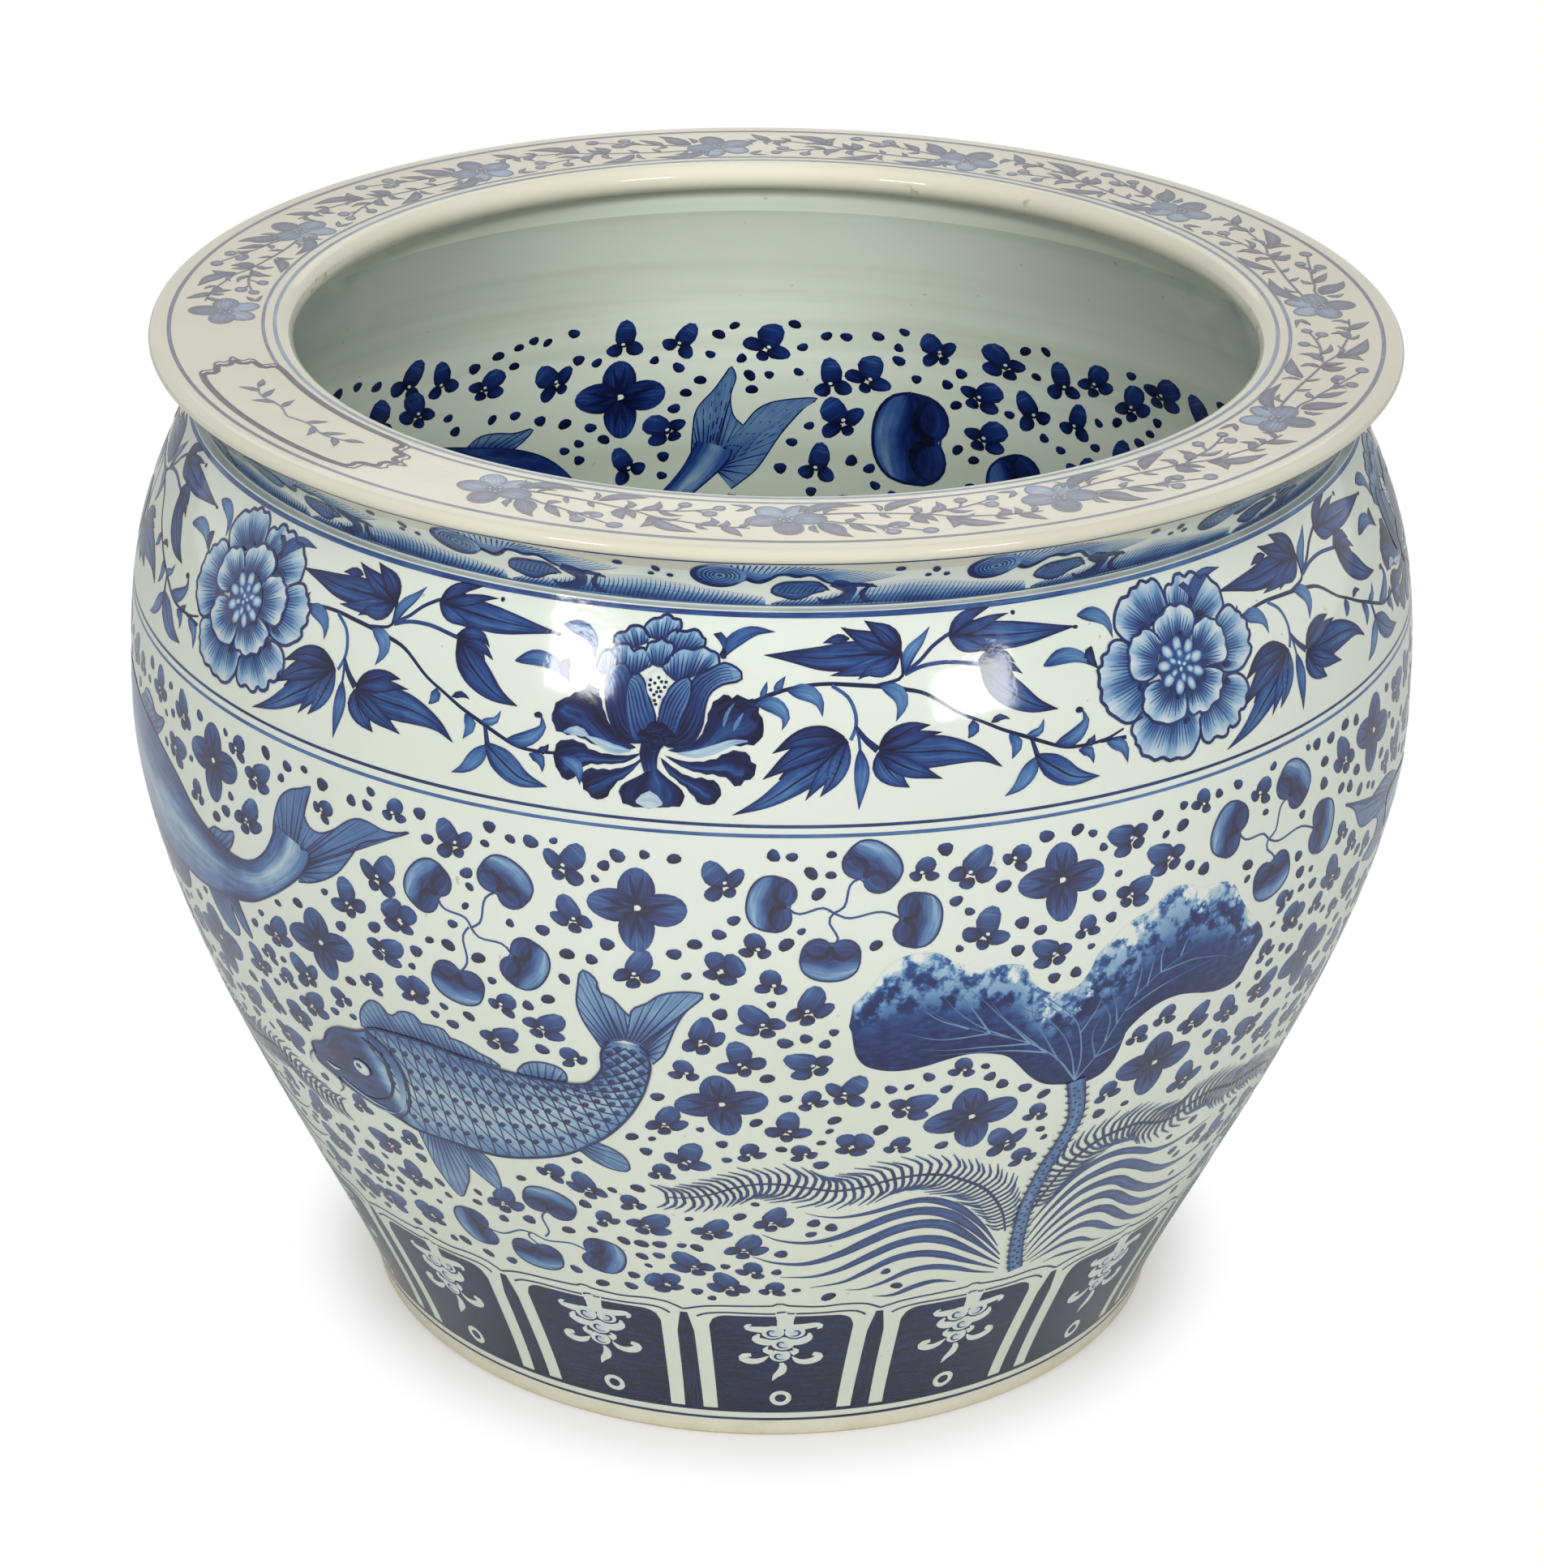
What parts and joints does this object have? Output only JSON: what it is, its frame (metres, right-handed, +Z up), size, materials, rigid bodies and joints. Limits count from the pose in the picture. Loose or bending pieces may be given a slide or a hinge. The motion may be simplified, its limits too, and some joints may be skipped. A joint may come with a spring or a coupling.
{
  "type": "porcelain jardiniere",
  "caption": "Large round footed porcelain bowl with a swelling shoulder, a waisted collar and a broad flat rim, painted in underglaze blue.",
  "frame": {"origin": "centre of the circle that the foot ring stands on", "axes": "+Z up along the pot's axis, which is its axis of symmetry; -Y is the side with the lotus leaf and the carp"},
  "size_m": [0.56, 0.56, 0.451],
  "materials": {
    "white_glaze": "glossy white glaze with a faint green cast",
    "rim_glaze": "glossy cream glaze, worn along the edge",
    "bare_foot": "thin cream glaze wiped off the standing edge",
    "cobalt": "cobalt blue painted under the glaze"
  },
  "bodies": {
    "root": {"foot_ring": "bare_foot", "base_disc": "white_glaze", "lower_wall": "white_glaze", "middle_wall": "white_glaze", "upper_wall": "white_glaze", "collar": "white_glaze", "rim_flange": "rim_glaze"}
  },
  "joints": []
}
